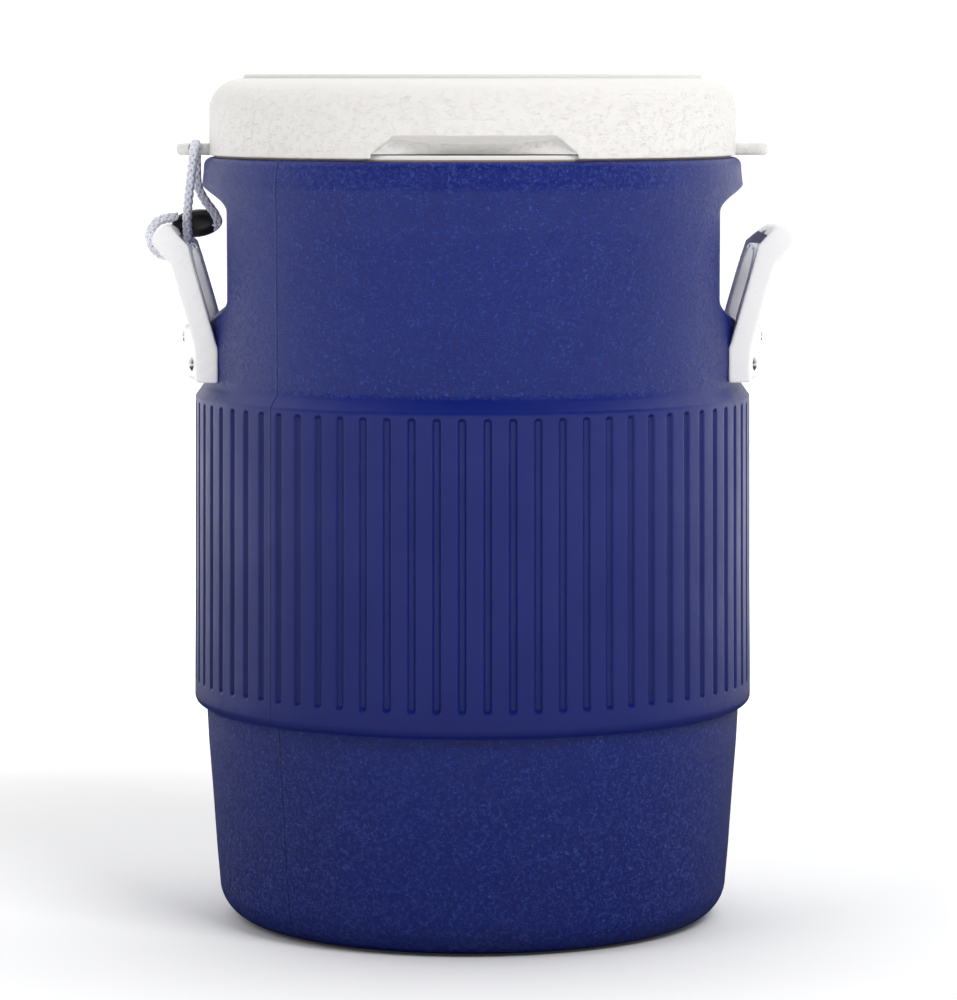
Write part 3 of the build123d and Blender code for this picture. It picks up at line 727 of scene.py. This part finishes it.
def braided(line, strands, offset, radius, turn_length, sides=8):
    """Strands braided round a line, half of them each way: points and faces, in millimetres."""
    tangents = [
        (line[min(k + 1, len(line) - 1)] - line[max(k - 1, 0)]).normalized()
        for k in range(len(line))
    ]
    normal = tangents[0].orthogonal().normalized()
    travelled = 0.0
    rings = [[] for _ in range(strands)]
    for k, point in enumerate(line):
        if k:
            normal = tangents[k - 1].rotation_difference(tangents[k]) @ normal
            travelled += (point - line[k - 1]).length
        binormal = tangents[k].cross(normal).normalized()
        for strand in range(strands):
            way = 1 if strand % 2 else -1
            turn = 2 * math.pi * (strand / strands + way * travelled / turn_length)
            out = normal * math.cos(turn) + binormal * math.sin(turn)
            across = binormal * math.cos(turn) - normal * math.sin(turn)
            crossing = 2 * math.pi * strands / 2 * travelled / turn_length
            over = STRAND_WEAVE * way * math.cos(crossing)
            centre = point + out * offset * (1 + over)
            for side in range(sides):
                spin = 2 * math.pi * side / sides
                rim = out * math.cos(spin) + across * math.sin(spin) * STRAND_WIDENING
                rings[strand].append((centre + rim * radius) / MM)
    points, faces = [], []
    for ring in rings:
        first = len(points)
        points += ring
        quads = lattice(len(line), sides)
        faces += [[first + corner for corner in quad] for quad in quads]
        faces.append([first + side for side in range(sides)][::-1])
        last = first + (len(line) - 1) * sides
        faces.append([last + side for side in range(sides)])
    return points, faces


line = route(cord_points, "lanyard_route")
points, faces = braided(line, STRANDS, STRAND_OFFSET, STRAND_RADIUS, TURN_LENGTH)
lanyard = piece("lanyard", points, faces, cord_white, body=None)
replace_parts(lanyard, "retaining_cord")


SPLIT_DEPTH, SPLIT_AT, SPLIT_SPREAD = 0.035, 0.30, 0.0016  # the line where its halves meet


def pebble(name, centre, halves, tilt, material):
    """A flattened oval bead with a split line round it."""
    rows, columns = 48, 72
    vertices = []
    for row in range(rows + 1):
        rise = math.pi * (row / rows - 0.5)
        for column in range(columns):
            turn = 2 * math.pi * column / columns
            flat = abs(math.cos(rise)) ** 0.62
            x = halves[0] * math.cos(turn) * flat
            z = halves[2] * math.sin(turn) * flat
            y = halves[1] * math.copysign(abs(math.sin(rise)) ** 0.85, math.sin(rise))
            groove = 1 - SPLIT_DEPTH * math.exp(-((rise + SPLIT_AT) ** 2) / SPLIT_SPREAD)
            vertices.append(
                (
                    centre[0] + (x * math.cos(tilt) - z * math.sin(tilt)) * groove,
                    centre[1] + y,
                    centre[2] + (x * math.sin(tilt) + z * math.cos(tilt)) * groove,
                )
            )
    return piece(name, vertices, lattice(rows + 1, columns, flip=True), material)


clamp = pebble(
    "lanyard_clamp", (-151.2, 6.5, 381.9), (14.0, 5.1, 7.6), math.radians(7), black
)
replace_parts(clamp, "cord_clamp")
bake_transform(lanyard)

# ---------------------------------------------------------------- camera, stage and light
CAMERA_DISTANCE = 2.439
CAMERA_HEIGHT = 0.4622
CAMERA_TURN = math.radians(0.45)
CAMERA_TILT = math.radians(5.445)
AIM_ASIDE = 0.00324
WORLD_BEHIND_CAMERA, WORLD_BEHIND_OBJECT = 0.02, 1.15
FLOOR_REACH = 6000

eye = Vector(
    (
        -CAMERA_DISTANCE * math.sin(CAMERA_TURN),
        -CAMERA_DISTANCE * math.cos(CAMERA_TURN),
        CAMERA_HEIGHT,
    )
)
target = Vector((AIM_ASIDE, 0.0, CAMERA_HEIGHT - CAMERA_DISTANCE * math.tan(CAMERA_TILT)))
camera = bpy.data.objects.new("camera", bpy.data.cameras.new("camera"))
camera.data.lens = 160.03
camera.data.sensor_width = 36.0
camera.location = eye
camera.rotation_euler = (target - eye).to_track_quat("-Z", "Y").to_euler()
bpy.context.scene.collection.objects.link(camera)
bpy.context.scene.camera = camera


def area_light(name, location, aim, size, power):
    """A soft light that glossy surfaces don't mirror; its power is in watts."""
    data = bpy.data.lights.new(name, "AREA")
    data.shape = "RECTANGLE"
    data.size, data.size_y = size
    data.energy = power
    item = bpy.data.objects.new(name, data)
    item.visible_glossy = False
    item.location = location
    item.rotation_euler = (Vector(aim) - Vector(location)).to_track_quat("-Z", "Y").to_euler()
    bpy.context.scene.collection.objects.link(item)


area_light("key_box", (1.2, -1.8, 2.2), (0, 0, 0.25), (1.3, 1.0), 47)
area_light("fill_box", (-1.5, -1.2, 1.9), (0, 0, 0.25), (1.2, 1.2), 13)
area_light("top_box", (0.1, 0.2, 2.4), (0, 0, 0.2), (1.6, 1.2), 10)

# the studio is bright behind the object and dark behind the camera, which shows in the light that
# falls on the object and in what it reflects; the camera itself sees white all round
world = bpy.data.worlds.new("studio")
world.use_nodes = True
studio = world.node_tree
direction = studio.nodes.new("ShaderNodeTexCoord")
parts = studio.nodes.new("ShaderNodeSeparateXYZ")
studio.links.new(direction.outputs["Generated"], parts.inputs[0])
falloff = studio.nodes.new("ShaderNodeMapRange")
falloff.interpolation_type = "SMOOTHSTEP"
studio.links.new(parts.outputs["Y"], falloff.inputs["Value"])
for socket, value in zip(RANGE_SOCKETS, (-0.5, 0.5, WORLD_BEHIND_CAMERA, WORLD_BEHIND_OBJECT)):
    falloff.inputs[socket].default_value = value
sight = studio.nodes.new("ShaderNodeLightPath")
brighter = studio.nodes.new("ShaderNodeMath")
brighter.operation = "MAXIMUM"
studio.links.new(sight.outputs["Is Camera Ray"], brighter.inputs[0])
studio.links.new(falloff.outputs["Result"], brighter.inputs[1])
studio.links.new(brighter.outputs[0], studio.nodes["Background"].inputs["Strength"])
studio.nodes["Background"].inputs["Color"].default_value = (1, 1, 1, 1)
bpy.context.scene.world = world
bpy.context.scene.view_settings.view_transform = "Standard"

# the floor is plain where the object's shadow falls, and glows further out, like the studio
floor = Shader("floor", (0.93, 0.93, 0.93), 0.8, Emission_Color=(1, 1, 1, 1))
floor.relief(floor.noise(40), 0.0001)
away = floor.node("ShaderNodeVectorMath", operation="LENGTH")
floor.link(floor.coords, away.inputs[0])
distance = away.outputs["Value"]
floor.link(floor.ramp(distance, 0.3, 1.5, 0.02, 1.0), floor.bsdf.inputs["Emission Strength"])
# glossy plastic sees the floor near it much dimmer than the camera does
rays = floor.node("ShaderNodeLightPath")
dim = floor.node("ShaderNodeBsdfDiffuse")
dim.inputs["Color"].default_value = (0.06, 0.06, 0.06, 1)
mixed = floor.node("ShaderNodeMixShader")
near = floor.ramp(distance, 0.8, 2.0, 1.0, 0.0)
floor.link(floor.math("MULTIPLY", rays.outputs["Is Glossy Ray"], near), mixed.inputs[0])
floor.link(floor.bsdf.outputs[0], mixed.inputs[1])
floor.link(dim.outputs[0], mixed.inputs[2])
floor.link(mixed.outputs[0], floor.tree.nodes["Material Output"].inputs["Surface"])
corners = [(x * FLOOR_REACH, y * FLOOR_REACH, 0) for x, y in ((-1, -1), (1, -1), (1, 1), (-1, 1))]
piece("studio_floor", corners, [(0, 1, 2, 3)], floor.material, body=None)
